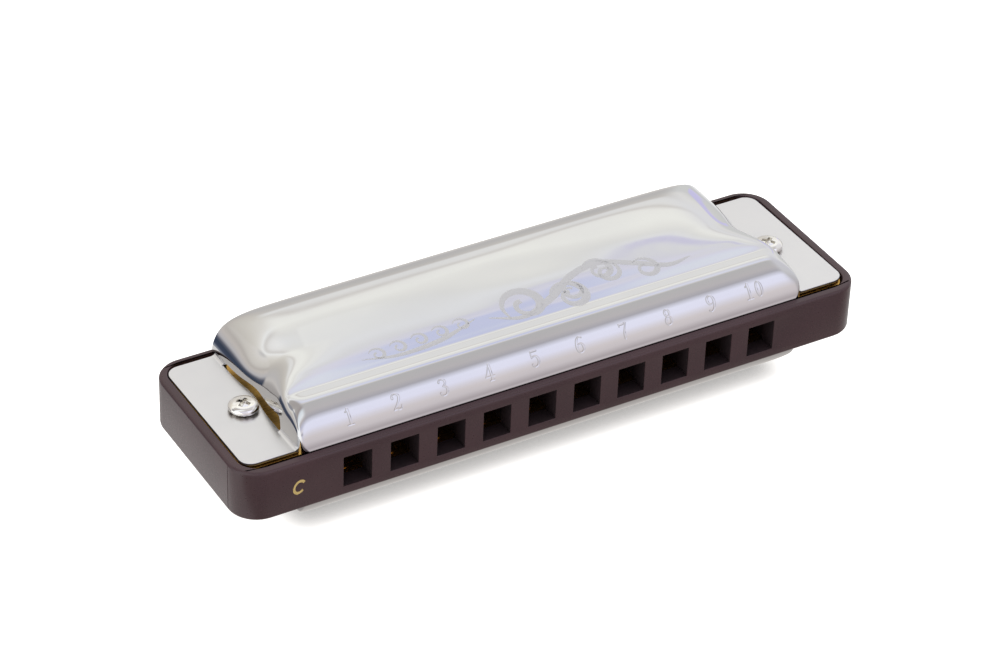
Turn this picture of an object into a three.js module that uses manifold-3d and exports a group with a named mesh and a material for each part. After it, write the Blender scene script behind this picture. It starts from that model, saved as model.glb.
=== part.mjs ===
// A ten-hole diatonic harmonica, in millimetres.
// +X runs along the comb from hole 1 to hole 10, the mouth holes face -Y and +Z is up.
// The origin is the middle of the comb.
import * as THREE from 'three';
import { mergeVertices } from 'three/addons/utils/BufferGeometryUtils.js';
import Module from 'manifold-3d';

const wasm = await Module();
wasm.setup();

// Comb
const HOLE_COUNT = 10;
const HOLE_PITCH = 7.5;
const MOUTH_WIDTH = 4.5;
const MOUTH_HEIGHT = 5.1;
const COMB_LENGTH = 103.7;
const COMB_WIDTH = 30;
const COMB_HEIGHT = 8.26;
const COMB_CORNER = 4.5;
const RIM_WIDTH = 1.4;
const BACK_RIM_WIDTH = 1.0;
const CORE_HEIGHT = 5.36;
const FRONT_WALL = 2.8;
const CHAMBER_WIDTH = 5.3;
const CHAMBER_SPARE = 0.8;

// Reed plates
const PLATE_THICKNESS = 0.9;
const PLATE_CLEARANCE = 0.3;
const SLOT_CLEARANCE = 0.15;

// Reeds, from hole 1 to hole 10
const TONGUE_LENGTH_FIRST = 15;
const TONGUE_LENGTH_LAST = 9;
const TONGUE_WIDTH_FIRST = 2.4;
const TONGUE_WIDTH_LAST = 1.9;
const TONGUE_THICKNESS = 0.25;
const PAD_LENGTH = 3.4;
const PAD_WIDTH = 3.2;
const PAD_THICKNESS = 0.4;
const REED_GAP = 0.12;
const BLOW_TIP_Y = -10.8;
const DRAW_RIVET_Y = -10.2;

// Rivets
const RIVET_RADIUS = 0.65;
const RIVET_HEAD_RADIUS = 1.1;
const RIVET_TAIL_RADIUS = 0.95;
const RIVET_HEAD_HEIGHT = 0.2;
const RIVET_SIDES = 8;
const PAD_HOLE_RADIUS = 0.75;
const PLATE_RIVET_HOLE_RADIUS = 0.8;

// Covers: a pressed sheet with a number roll in front, a rising panel and a rolled back edge
const SHEET = 0.45;
const COVER_FRONT_Y = -13.5;
const COVER_END_X = 42;
const FOOT_DROP = 0.15;
const WAIST_DEPTH = 0.6;
const WAIST_Y = 2;
const WAIST_SPREAD = 3.5;
const ROLL_TOP_Y = -7.6;
const ROLL_RISE = 5.32;
const CREASE_Y = -6.5;
const CREASE_SOFTNESS = 1;
const PANEL_SLOPE = 0.135;
const BACK_ROLL_RADIUS = 3;
const BACK_ROLL_Y = 11.5;
const END_RISE = 9.15;
const END_REACH = 24.5;
const ROLL_END_REACH = 9.2;
const RIDGE_SHARPNESS = 8;
const ROLL_STEPS = 4;
const ROLL_CROWDING = 0.8;
const PANEL_STEPS = 5;
const BACK_STEPS = 3;
const END_STEPS = 10;
const END_CROWDING = 1.8;
const TAB_END_X = 50.15;
const TAB_INNER_X = 41;
const TAB_FRONT_Y = -12.5;
const TAB_BACK_Y = 13.4;
const TAB_CORNER = 2;
const VENT_FRONT_Y = -7.4;
const VENT_BACK_Y = 10.5;
const VENT_FRONT_TOP_Z = 6.4;
const VENT_BACK_TOP_Z = 4.7;
const VENT_STEPS = 8;
const VENT_EDGE = 0.1;
const RIM_RELIEF = 0.15;

// Cover screws and nuts
const SCREW_X = 44.3;
const SCREW_Y = -0.4;
const SCREW_RADIUS = 1;
const SCREW_HOLE_RADIUS = 1.3;
const SCREW_HEAD_RADIUS = 2.25;
const SCREW_HEAD_HEIGHT = 1.5;
const NUT_RADIUS = 2.3;
const NUT_HEIGHT = 1.6;
const SCREW_TAIL = 0.5;

// Plate screws
const PLATE_SCREW_PLACES = [[-38.4, -8.6], [38.4, -8.6], [-30, 11], [0, 11], [30, 11]];
const PLATE_SCREW_RADIUS = 0.7;
const PLATE_SCREW_HOLE_RADIUS = 0.95;
const PLATE_SCREW_HEAD_RADIUS = 1.4;
const PLATE_SCREW_HEAD_HEIGHT = 0.7;
const PLATE_SCREW_LENGTH = 2.4;
const PILOT_DEPTH = 1.9;

const ARC_SEGMENTS = 5;
const ROUND_SIDES = 12;

// Heights worked out from the driving dimensions
const CORE_TOP = CORE_HEIGHT / 2;
const PLATE_TOP = CORE_TOP + PLATE_THICKNESS;
const TAB_TOP = PLATE_TOP + SHEET;
const FOOT_Z = TAB_TOP - FOOT_DROP;
const BACK_ROLL_RISE = sectionRise(BACK_ROLL_Y) - BACK_ROLL_RADIUS;

// Solids and geometries

function solidOf(geometry) {
  const bare = new THREE.BufferGeometry();
  bare.setAttribute('position', geometry.getAttribute('position').clone());
  if (geometry.index) bare.setIndex(geometry.index.clone());
  const merged = mergeVertices(bare, 1e-4);
  return new wasm.Manifold(new wasm.Mesh({
    numProp: 3,
    vertProperties: new Float32Array(merged.getAttribute('position').array),
    triVerts: new Uint32Array(merged.index.array),
  }));
}

function geometryOf(solid) {
  const mesh = solid.getMesh();
  const geometry = new THREE.BufferGeometry();
  geometry.setAttribute('position', new THREE.BufferAttribute(mesh.vertProperties, 3));
  geometry.setIndex(new THREE.BufferAttribute(mesh.triVerts, 1));
  geometry.computeVertexNormals();
  return geometry;
}

function cut(body, tools) {
  return tools.reduce((left, tool) => left.subtract(tool), body);
}

function box(low, high) {
  const size = high.map((value, axis) => value - low[axis]);
  const geometry = new THREE.BoxGeometry(...size);
  geometry.translate(...low.map((value, axis) => value + size[axis] / 2));
  return solidOf(geometry);
}

function extrude(shape, zLow, zHigh, segments = ARC_SEGMENTS) {
  const options = { depth: zHigh - zLow, bevelEnabled: false, curveSegments: segments };
  const geometry = new THREE.ExtrudeGeometry(shape, options);
  geometry.translate(0, 0, zLow);
  return solidOf(geometry);
}

function rod(x, y, radius, zLow, zHigh, sides = ROUND_SIDES) {
  const geometry = new THREE.CylinderGeometry(radius, radius, zHigh - zLow, sides);
  geometry.rotateX(Math.PI / 2);
  geometry.translate(x, y, (zLow + zHigh) / 2);
  return solidOf(geometry);
}

function turned(profile, x, y, sides) {
  const points = profile.map(([radius, z]) => new THREE.Vector2(radius, z));
  const geometry = new THREE.LatheGeometry(points, sides);
  geometry.rotateX(Math.PI / 2);
  geometry.translate(x, y, 0);
  return solidOf(geometry);
}

function roundedRectangle(xLow, xHigh, yLow, yHigh, radius) {
  const shape = new THREE.Shape();
  shape.absarc(xHigh - radius, yLow + radius, radius, -Math.PI / 2, 0);
  shape.absarc(xHigh - radius, yHigh - radius, radius, 0, Math.PI / 2);
  shape.absarc(xLow + radius, yHigh - radius, radius, Math.PI / 2, Math.PI);
  shape.absarc(xLow + radius, yLow + radius, radius, Math.PI, 3 * Math.PI / 2);
  return shape;
}

// Places shared by the comb, the plates and the reeds

function holeX(hole) {
  return (hole - (HOLE_COUNT + 1) / 2) * HOLE_PITCH;
}

function alongHoles(first, last, hole) {
  return first + (last - first) * (hole - 1) / (HOLE_COUNT - 1);
}

function tongueLength(hole) {
  return alongHoles(TONGUE_LENGTH_FIRST, TONGUE_LENGTH_LAST, hole);
}

function tongueWidth(hole) {
  return alongHoles(TONGUE_WIDTH_FIRST, TONGUE_WIDTH_LAST, hole);
}

// A blow reed lies under the upper plate with its rivet behind and its tip to the front.
// A draw reed lies under the lower plate with its rivet in front and its tip to the back.
function reedPlace(kind, hole) {
  if (kind === 'blow') {
    const rivetY = BLOW_TIP_Y + tongueLength(hole) + PAD_LENGTH / 2;
    return { rivetY, towardTip: -1, faceZ: CORE_TOP, plateTopZ: PLATE_TOP };
  }
  return { rivetY: DRAW_RIVET_Y, towardTip: 1, faceZ: -PLATE_TOP, plateTopZ: -CORE_TOP };
}

function chamberBackY(hole) {
  return BLOW_TIP_Y + tongueLength(hole) + PAD_LENGTH + CHAMBER_SPARE;
}

// Comb

function recess(zLow, zHigh, inset) {
  const edge = RIM_WIDTH + inset;
  const shape = roundedRectangle(
    -COMB_LENGTH / 2 + edge, COMB_LENGTH / 2 - edge,
    -COMB_WIDTH / 2 + edge, COMB_WIDTH / 2 - BACK_RIM_WIDTH - inset,
    COMB_CORNER - edge,
  );
  return extrude(shape, zLow, zHigh);
}

function mouthAndChamber(hole) {
  const x = holeX(hole);
  const front = -COMB_WIDTH / 2;
  const inside = front + FRONT_WALL;
  const mouth = box(
    [x - MOUTH_WIDTH / 2, front - 1, -MOUTH_HEIGHT / 2],
    [x + MOUTH_WIDTH / 2, inside + 1, MOUTH_HEIGHT / 2],
  );
  const chamber = box(
    [x - CHAMBER_WIDTH / 2, inside, -COMB_HEIGHT],
    [x + CHAMBER_WIDTH / 2, chamberBackY(hole), COMB_HEIGHT],
  );
  return mouth.add(chamber);
}

function comb() {
  const halfLength = COMB_LENGTH / 2;
  const halfWidth = COMB_WIDTH / 2;
  const outline = roundedRectangle(-halfLength, halfLength, -halfWidth, halfWidth, COMB_CORNER);
  const body = extrude(outline, -COMB_HEIGHT / 2, COMB_HEIGHT / 2);
  const recesses = [recess(CORE_TOP, COMB_HEIGHT, 0), recess(-COMB_HEIGHT, -CORE_TOP, 0)];
  const chambers = [];
  for (let hole = 1; hole <= HOLE_COUNT; hole += 1) chambers.push(mouthAndChamber(hole));
  const screwHoles = [-1, 1].map(
    (side) => rod(side * SCREW_X, SCREW_Y, SCREW_HOLE_RADIUS, -COMB_HEIGHT, COMB_HEIGHT),
  );
  const pilots = PLATE_SCREW_PLACES.flatMap(([x, y]) => [
    rod(x, y, PLATE_SCREW_HOLE_RADIUS, CORE_TOP - PILOT_DEPTH, COMB_HEIGHT, RIVET_SIDES),
    rod(x, y, PLATE_SCREW_HOLE_RADIUS, -COMB_HEIGHT, PILOT_DEPTH - CORE_TOP, RIVET_SIDES),
  ]);
  return cut(body, [...recesses, ...chambers, ...screwHoles, ...pilots]);
}

// Reed plates

function reedSlot(kind, hole) {
  const { rivetY, towardTip } = reedPlace(kind, hole);
  const half = tongueWidth(hole) / 2 + SLOT_CLEARANCE;
  const rootY = rivetY + towardTip * PAD_LENGTH / 2;
  const tipY = rootY + towardTip * (tongueLength(hole) + SLOT_CLEARANCE);
  const x = holeX(hole);
  return box(
    [x - half, Math.min(rootY, tipY), -COMB_HEIGHT],
    [x + half, Math.max(rootY, tipY), COMB_HEIGHT],
  );
}

function reedPlate(kind) {
  const topZ = reedPlace(kind, 1).plateTopZ;
  const blank = recess(topZ - PLATE_THICKNESS, topZ, PLATE_CLEARANCE);
  const openings = [];
  for (let hole = 1; hole <= HOLE_COUNT; hole += 1) {
    const { rivetY } = reedPlace(kind, hole);
    openings.push(reedSlot(kind, hole));
    openings.push(rod(
      holeX(hole), rivetY, PLATE_RIVET_HOLE_RADIUS, -COMB_HEIGHT, COMB_HEIGHT, RIVET_SIDES,
    ));
  }
  for (const side of [-1, 1]) {
    openings.push(rod(side * SCREW_X, SCREW_Y, SCREW_HOLE_RADIUS, -COMB_HEIGHT, COMB_HEIGHT));
  }
  for (const [x, y] of PLATE_SCREW_PLACES) {
    openings.push(rod(x, y, PLATE_SCREW_HOLE_RADIUS, -COMB_HEIGHT, COMB_HEIGHT, RIVET_SIDES));
  }
  return cut(blank, openings);
}

// Reeds and rivets

function reed(kind, hole) {
  const { rivetY, towardTip, faceZ } = reedPlace(kind, hole);
  const x = holeX(hole);
  const topZ = faceZ - REED_GAP;
  const halfTongue = tongueWidth(hole) / 2;
  const tipY = rivetY + towardTip * (PAD_LENGTH / 2 + tongueLength(hole));
  const insidePadY = rivetY + towardTip * PAD_LENGTH / 3;
  const pad = box(
    [x - PAD_WIDTH / 2, rivetY - PAD_LENGTH / 2, topZ - PAD_THICKNESS],
    [x + PAD_WIDTH / 2, rivetY + PAD_LENGTH / 2, topZ],
  );
  const tongue = box(
    [x - halfTongue, Math.min(insidePadY, tipY), topZ - TONGUE_THICKNESS],
    [x + halfTongue, Math.max(insidePadY, tipY), topZ],
  );
  const rivetHole = rod(x, rivetY, PAD_HOLE_RADIUS, topZ - 1, topZ + 1, RIVET_SIDES);
  return pad.add(tongue).subtract(rivetHole);
}

// The head holds the reed's pad from below, and the tail is spread flat above the plate.
function rivet(kind, hole) {
  const { rivetY, faceZ, plateTopZ } = reedPlace(kind, hole);
  const headTop = faceZ - 2 * REED_GAP - PAD_THICKNESS;
  const profile = [
    [0, headTop - RIVET_HEAD_HEIGHT],
    [RIVET_HEAD_RADIUS, headTop - RIVET_HEAD_HEIGHT],
    [RIVET_HEAD_RADIUS, headTop],
    [RIVET_RADIUS, headTop],
    [RIVET_RADIUS, plateTopZ],
    [RIVET_TAIL_RADIUS, plateTopZ],
    [RIVET_TAIL_RADIUS, plateTopZ + RIVET_HEAD_HEIGHT],
    [0, plateTopZ + RIVET_HEAD_HEIGHT],
  ];
  return turned(profile, holeX(hole), rivetY, RIVET_SIDES);
}

// Covers

// Half the cover's length at a given depth: its end walls draw in a little beside the screws.
function coverEndX(y) {
  return COVER_END_X - WAIST_DEPTH * Math.exp(-(((y - WAIST_Y) / WAIST_SPREAD) ** 2));
}

// How far the long section stands above its foot line.
function sectionRise(y) {
  if (y < ROLL_TOP_Y) {
    const across = (ROLL_TOP_Y - y) / (ROLL_TOP_Y - COVER_FRONT_Y);
    return ROLL_RISE * Math.sqrt(Math.max(0, 1 - across * across));
  }
  const past = Math.max(0, y - CREASE_Y);
  return ROLL_RISE + PANEL_SLOPE * (Math.hypot(past, CREASE_SOFTNESS) - CREASE_SOFTNESS);
}

// How far the end wall stands above its foot line at a distance inside the cover's end.
function endRise(inside, y) {
  const behindRoll = THREE.MathUtils.smoothstep(y, ROLL_TOP_Y, WAIST_Y);
  const reach = THREE.MathUtils.lerp(ROLL_END_REACH, END_REACH, behindRoll);
  return END_RISE * Math.sqrt(1 - Math.max(0, 1 - inside / reach) ** 3);
}

function softLower(first, second) {
  if (first <= 0 || second <= 0) return 0;
  const ratio = Math.min(first, second) / Math.max(first, second);
  return Math.min(first, second) / (1 + ratio ** RIDGE_SHARPNESS) ** (1 / RIDGE_SHARPNESS);
}

// Stations of the long section from the front foot to the end of the back roll.
function sectionStations() {
  const stations = [];
  for (let step = 0; step < ROLL_STEPS; step += 1) {
    const angle = (step / ROLL_STEPS) ** ROLL_CROWDING * Math.PI / 2;
    const y = ROLL_TOP_Y - (ROLL_TOP_Y - COVER_FRONT_Y) * Math.cos(angle);
    stations.push({ y, rise: sectionRise(y) });
  }
  for (let step = 0; step < PANEL_STEPS; step += 1) {
    const y = THREE.MathUtils.lerp(ROLL_TOP_Y, BACK_ROLL_Y, step / PANEL_STEPS);
    stations.push({ y, rise: sectionRise(y) });
  }
  for (let step = 0; step <= BACK_STEPS; step += 1) {
    const angle = step / BACK_STEPS * Math.PI / 2;
    stations.push({
      y: BACK_ROLL_Y + BACK_ROLL_RADIUS * Math.sin(angle),
      rise: BACK_ROLL_RISE + BACK_ROLL_RADIUS * Math.cos(angle),
    });
  }
  return stations;
}

// The outer skin as rows of points, each row running from the left end to the right.
function coverSkin() {
  return sectionStations().map(({ y, rise }) => {
    const endX = coverEndX(y);
    const row = [];
    for (let step = -END_STEPS; step <= END_STEPS; step += 1) {
      const inside = endX * (1 - Math.abs(step) / END_STEPS) ** END_CROWDING;
      const x = Math.sign(step) * (endX - inside);
      row.push(new THREE.Vector3(x, y, FOOT_Z + softLower(rise, endRise(inside, y))));
    }
    return row;
  });
}

function skinNormal(skin, row, column) {
  const lastRow = skin.length - 1;
  const lastColumn = skin[0].length - 1;
  const atEnd = column === 0 || column === lastColumn;
  if (row === 0 || atEnd) {
    return new THREE.Vector3(atEnd ? Math.sign(skin[row][column].x) : 0, row === 0 ? -1 : 0, 0);
  }
  const alongX = skin[row][column + 1].clone().sub(skin[row][column - 1]);
  const alongY = skin[Math.min(row + 1, lastRow)][column].clone().sub(skin[row - 1][column]);
  return alongX.cross(alongY).normalize();
}

// Closes the skin into a sheet: an inner skin, a skirt down to the plate on the front and
// the ends, and the cut edge along the back.
function coverShell() {
  const outer = coverSkin();
  const inner = outer.map((points, row) => points.map((point, column) => (
    point.clone().addScaledVector(skinNormal(outer, row, column), -SHEET)
  )));
  const faces = [];
  const quad = (a, b, c, d) => faces.push(a, b, c, a, c, d);
  const lastRow = outer.length - 1;
  const lastColumn = outer[0].length - 1;
  for (let row = 0; row < lastRow; row += 1) {
    for (let column = 0; column < lastColumn; column += 1) {
      for (const [skin, up, across] of [[outer, 0, 1], [inner, 1, 0]]) {
        quad(
          skin[row][column], skin[row + up][column + across],
          skin[row + 1][column + 1], skin[row + across][column + up],
        );
      }
    }
  }
  const border = [];
  for (let row = lastRow; row > 0; row -= 1) border.push([row, 0]);
  for (let column = 0; column < lastColumn; column += 1) border.push([0, column]);
  for (let row = 0; row <= lastRow; row += 1) border.push([row, lastColumn]);
  const skirt = border.map(([row, column]) => {
    const rim = [outer[row][column], inner[row][column]];
    return [...rim, ...rim.map((point) => point.clone().setZ(PLATE_TOP))];
  });
  for (let step = 0; step < skirt.length - 1; step += 1) {
    const [outerTop, innerTop, outerFoot, innerFoot] = skirt[step];
    const [nextOuter, nextInner, nextOuterFoot, nextInnerFoot] = skirt[step + 1];
    quad(outerTop, outerFoot, nextOuterFoot, nextOuter);
    quad(innerTop, nextInner, nextInnerFoot, innerFoot);
    quad(outerFoot, innerFoot, nextInnerFoot, nextOuterFoot);
  }
  const [leftTop, leftInnerTop, leftFoot, leftInnerFoot] = skirt[0];
  const [rightTop, rightInnerTop, rightFoot, rightInnerFoot] = skirt[skirt.length - 1];
  quad(leftTop, leftInnerTop, leftInnerFoot, leftFoot);
  quad(rightTop, rightFoot, rightInnerFoot, rightInnerTop);
  for (let column = 0; column < lastColumn; column += 1) {
    quad(
      outer[lastRow][column], outer[lastRow][column + 1],
      inner[lastRow][column + 1], inner[lastRow][column],
    );
  }
  return solidOf(new THREE.BufferGeometry().setFromPoints(faces));
}

function coverTab(side) {
  const ends = [side * TAB_INNER_X, side * TAB_END_X];
  const overlap = TAB_CORNER * 2;
  const shape = roundedRectangle(
    Math.min(...ends), Math.max(...ends), TAB_FRONT_Y, TAB_BACK_Y, TAB_CORNER,
  );
  const square = box(
    [Math.min(ends[0], ends[0] + side * overlap), TAB_FRONT_Y, PLATE_TOP],
    [Math.max(ends[0], ends[0] + side * overlap), TAB_BACK_Y, TAB_TOP],
  );
  const hole = rod(side * SCREW_X, SCREW_Y, SCREW_HOLE_RADIUS, 0, COMB_HEIGHT);
  return extrude(shape, PLATE_TOP, TAB_TOP).add(square).subtract(hole);
}

// A solid with the same outline all along X, given by points (y, z).
function sidePrism(outline, x0, x1) {
  const shape = new THREE.Shape(outline.map(([y, z]) => new THREE.Vector2(y, z)));
  const geometry = new THREE.ExtrudeGeometry(shape, { depth: x1 - x0, bevelEnabled: false });
  const alongY = new THREE.Vector3(0, 1, 0);
  const alongZ = new THREE.Vector3(0, 0, 1);
  const alongX = new THREE.Vector3(1, 0, 0);
  geometry.applyMatrix4(new THREE.Matrix4().makeBasis(alongY, alongZ, alongX));
  geometry.translate(x0, 0, 0);
  return solidOf(geometry);
}

// The slot low in each end wall. Its outer edge follows the wall, and it is tallest at the front.
function ventCutter(side) {
  const shape = new THREE.Shape();
  const innerX = TAB_INNER_X - 1;
  shape.moveTo(side * innerX, VENT_FRONT_Y);
  for (let step = 0; step <= VENT_STEPS; step += 1) {
    const y = THREE.MathUtils.lerp(VENT_FRONT_Y, VENT_BACK_Y, step / VENT_STEPS);
    shape.lineTo(side * (coverEndX(y) + VENT_EDGE), y);
  }
  shape.lineTo(side * innerX, VENT_BACK_Y);
  const outline = [
    [VENT_FRONT_Y, PLATE_TOP - 1], [VENT_BACK_Y, PLATE_TOP - 1],
    [VENT_BACK_Y, VENT_BACK_TOP_Z], [VENT_FRONT_Y, VENT_FRONT_TOP_Z],
  ];
  const slot = sidePrism(outline, -COMB_LENGTH / 2, COMB_LENGTH / 2);
  return extrude(shape, PLATE_TOP - 1, VENT_FRONT_TOP_Z).intersect(slot);
}

function upperCover() {
  const overRim = box(
    [-COMB_LENGTH / 2, COMB_WIDTH / 2 - BACK_RIM_WIDTH - RIM_RELIEF, 0],
    [COMB_LENGTH / 2, COMB_WIDTH / 2, COMB_HEIGHT / 2 + RIM_RELIEF],
  );
  const pressing = coverShell().add(coverTab(-1)).add(coverTab(1));
  return cut(pressing, [ventCutter(-1), ventCutter(1), overRim]);
}

// Screws and nuts

function crossRecess(x, y, topZ, reach, width, depth) {
  const bar = (halfX, halfY) => box(
    [x - halfX, y - halfY, topZ - depth],
    [x + halfX, y + halfY, topZ + 1],
  );
  return bar(reach, width / 2).add(bar(width / 2, reach));
}

// A pan head with a shank below it and a cross recess on top.
function panScrew(x, y, seatZ, head, shank) {
  const shoulder = head.height * 0.55;
  const profile = [
    [0, seatZ - shank.length],
    [shank.radius, seatZ - shank.length],
    [shank.radius, seatZ],
    [head.radius, seatZ],
    [head.radius, seatZ + shoulder],
    [head.radius * 0.72, seatZ + head.height * 0.93],
    [0, seatZ + head.height],
  ];
  const body = turned(profile, x, y, head.sides);
  const topZ = seatZ + head.height;
  const drive = crossRecess(x, y, topZ, head.radius * 0.55, head.radius * 0.25, head.height * 0.6);
  return body.subtract(drive);
}

function coverScrew(side) {
  const head = { radius: SCREW_HEAD_RADIUS, height: SCREW_HEAD_HEIGHT, sides: 20 };
  const length = 2 * TAB_TOP + NUT_HEIGHT + SCREW_TAIL;
  return panScrew(side * SCREW_X, SCREW_Y, TAB_TOP, head, { radius: SCREW_RADIUS, length });
}

function coverNut(side) {
  const hexagon = rod(side * SCREW_X, SCREW_Y, NUT_RADIUS, -TAB_TOP - NUT_HEIGHT, -TAB_TOP, 6);
  return hexagon.subtract(rod(side * SCREW_X, SCREW_Y, SCREW_HOLE_RADIUS, -COMB_HEIGHT, 0));
}

function plateScrew([x, y]) {
  const head = {
    radius: PLATE_SCREW_HEAD_RADIUS, height: PLATE_SCREW_HEAD_HEIGHT, sides: RIVET_SIDES,
  };
  const shank = { radius: PLATE_SCREW_RADIUS, length: PLATE_SCREW_LENGTH };
  return panScrew(x, y, PLATE_TOP, head, shank);
}

// Assembly

function finish(color, roughness, metalness) {
  return { color, roughness, metalness };
}

const PLUM_PLASTIC = finish(0x3d2a2e, 0.38, 0);
const CHROME = finish(0xe6e6ea, 0.08, 1);
const PLATE_BRASS = finish(0xc9a24e, 0.3, 1);
const REED_BRASS = finish(0xd8b565, 0.25, 1);
const RIVET_BRASS = finish(0xb9923f, 0.32, 1);
const SCREW_STEEL = finish(0xd9d8d4, 0.16, 1);
const NUT_STEEL = finish(0xb9b9b6, 0.3, 1);

const harmonica = new THREE.Group();

function place(name, solid, look) {
  const mesh = new THREE.Mesh(geometryOf(solid), new THREE.MeshStandardMaterial(look));
  mesh.name = name;
  harmonica.add(mesh);
  return mesh;
}

// Puts a piece made for the top on the bottom, by half a turn about the Y axis.
function placeBelow(name, solid, look) {
  place(name, solid, look).rotation.y = Math.PI;
}

place('comb', comb(), PLUM_PLASTIC);
place('upper_reed_plate', reedPlate('blow'), PLATE_BRASS);
place('lower_reed_plate', reedPlate('draw'), PLATE_BRASS);
for (const kind of ['blow', 'draw']) {
  for (let hole = 1; hole <= HOLE_COUNT; hole += 1) {
    place(`${kind}_reed_${hole}`, reed(kind, hole), REED_BRASS);
    place(`${kind}_rivet_${hole}`, rivet(kind, hole), RIVET_BRASS);
  }
}
place('upper_cover', upperCover(), CHROME);
placeBelow('lower_cover', upperCover(), CHROME);
for (const [sideName, side] of [['left', -1], ['right', 1]]) {
  place(`cover_screw_${sideName}`, coverScrew(side), SCREW_STEEL);
  place(`cover_nut_${sideName}`, coverNut(side), NUT_STEEL);
}
PLATE_SCREW_PLACES.forEach((spot, index) => {
  place(`upper_plate_screw_${index + 1}`, plateScrew(spot), SCREW_STEEL);
  placeBelow(`lower_plate_screw_${index + 1}`, plateScrew(spot), SCREW_STEEL);
});

export default harmonica;
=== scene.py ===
import math

import bmesh
import bpy
import numpy as np
from mathutils import Matrix, Vector

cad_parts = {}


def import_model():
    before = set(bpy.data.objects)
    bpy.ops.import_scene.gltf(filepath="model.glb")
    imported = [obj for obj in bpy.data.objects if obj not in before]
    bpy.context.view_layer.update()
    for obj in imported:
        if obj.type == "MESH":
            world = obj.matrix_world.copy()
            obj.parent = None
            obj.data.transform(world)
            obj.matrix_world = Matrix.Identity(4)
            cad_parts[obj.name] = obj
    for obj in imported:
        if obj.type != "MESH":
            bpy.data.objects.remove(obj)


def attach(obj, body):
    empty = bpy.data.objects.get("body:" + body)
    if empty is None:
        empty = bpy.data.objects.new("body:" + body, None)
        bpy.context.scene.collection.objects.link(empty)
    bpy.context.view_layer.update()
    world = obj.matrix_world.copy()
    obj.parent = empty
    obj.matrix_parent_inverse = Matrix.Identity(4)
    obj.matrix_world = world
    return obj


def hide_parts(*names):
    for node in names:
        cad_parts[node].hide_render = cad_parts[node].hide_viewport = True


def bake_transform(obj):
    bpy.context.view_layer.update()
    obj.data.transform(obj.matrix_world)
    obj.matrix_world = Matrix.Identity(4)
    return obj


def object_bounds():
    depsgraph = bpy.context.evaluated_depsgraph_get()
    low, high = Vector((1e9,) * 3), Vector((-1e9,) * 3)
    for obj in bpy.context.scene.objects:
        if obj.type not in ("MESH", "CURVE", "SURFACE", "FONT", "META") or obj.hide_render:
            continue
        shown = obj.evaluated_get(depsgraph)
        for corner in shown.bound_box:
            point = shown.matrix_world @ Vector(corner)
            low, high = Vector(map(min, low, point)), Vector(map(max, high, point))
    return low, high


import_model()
cad_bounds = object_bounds()

# A ten-hole diatonic harmonica. Every shape below is worked out in millimetres, in the frame's axes:
# +X from hole 1 to hole 10, mouth holes facing -Y, +Z up. A finished mesh is scaled to metres.
MM = 0.001
BODY = "harmonica"

# Comb
HOLE_COUNT = 10
HOLES = range(1, HOLE_COUNT + 1)
HOLE_PITCH = 7.5
MOUTH_WIDTH = 4.5
MOUTH_HEIGHT = 5.1
HALF_LENGTH = 51.85
HALF_WIDTH = 15
COMB_HEIGHT = 8.26
COMB_CORNER = 4.5
RIM_WIDTH = 1.4
BACK_RIM_WIDTH = 1.0
CORE_HEIGHT = 5.36
FRONT_WALL = 2.8
CHAMBER_WIDTH = 5.3
CHAMBER_SPARE = 0.8
RIM_FILLET = 0.45
RIM_INNER_FILLET = 0.12
MOUTH_FILLET = 0.1

# Reed plates and reeds
PLATE_THICKNESS = 0.9
PLATE_CLEARANCE = 0.3
SLOT_CLEARANCE = 0.15
PLATE_EDGE = 0.06
TONGUE_LENGTHS = (15, 9)
TONGUE_WIDTHS = (2.4, 1.9)
TONGUE_THICKNESS = 0.25
PAD_LENGTH = 3.4
PAD_WIDTH = 3.2
PAD_THICKNESS = 0.4
REED_GAP = 0.12
BLOW_TIP_Y = -10.8
DRAW_RIVET_Y = -10.2
PLATE_RIVET_HOLE = 0.8

# Covers
SHEET = 0.45
COVER_FRONT_Y = -13.5
COVER_END_X = 42
COVER_CORNER = 1.7
FOOT_DROP = 0.15
FOOT_FLARE = 0.12
FLARE_RISE = 0.45
WAIST_DEPTH = 0.6
WAIST_Y = 2
WAIST_SPREAD = 3.5
ROLL_TOP_Y = -7.6
ROLL_RISE = 5.32
CREASE_Y = -6.5
PANEL_SLOPES = [
    (-6.5, 0), (-6.3, 0.15), (-5.5, 0.178), (-4.8, 0.162), (-4, 0.148), (-3.2, 0.158), (-2.4, 0.145),
    (-0.5, 0.135), (2, 0.127), (4, 0.122), (5.5, 0.115), (7, 0.1), (9, 0.06), (10.5, 0.02),
]
PANEL_WAVE = 0.02
WAVE_Y = -3.0
WAVE_SLANT = 0.13
BACK_ROLL_REACH = 4
BACK_ROLL_DROP = 3
BACK_ROLL_Y = 10.5
END_RISE = 9.15
END_REACH = 24.5
ROLL_END_REACH = 7.6
RIDGE_SHARPNESS = 8
ROLL_SHARPNESS = 3.8
ROLL_SOFT_Y = -5
TAB_END_X = 50.15
TAB_INNER_X = 41.7
TAB_FRONT_Y = -12.5
TAB_BACK_Y = 13.4
TAB_CORNER = 2
TAB_LIFT = 0.3
TAB_BEND = 0.55
VENT_FRONT_Y = -7.4
VENT_BACK_Y = 10.5
VENT_FRONT_TOP_Z = 6.4
VENT_BACK_TOP_Z = 4.7
VENT_ROUND = 1.1
VENT_EDGE = 0.1
CREASE_WINDOW = 31
PANEL_GRID = 0.02
ROLL_STEPS = 40
PANEL_STEPS = 96
BACK_STEPS = 22
COLUMNS = np.arange(-84, 85)

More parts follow.
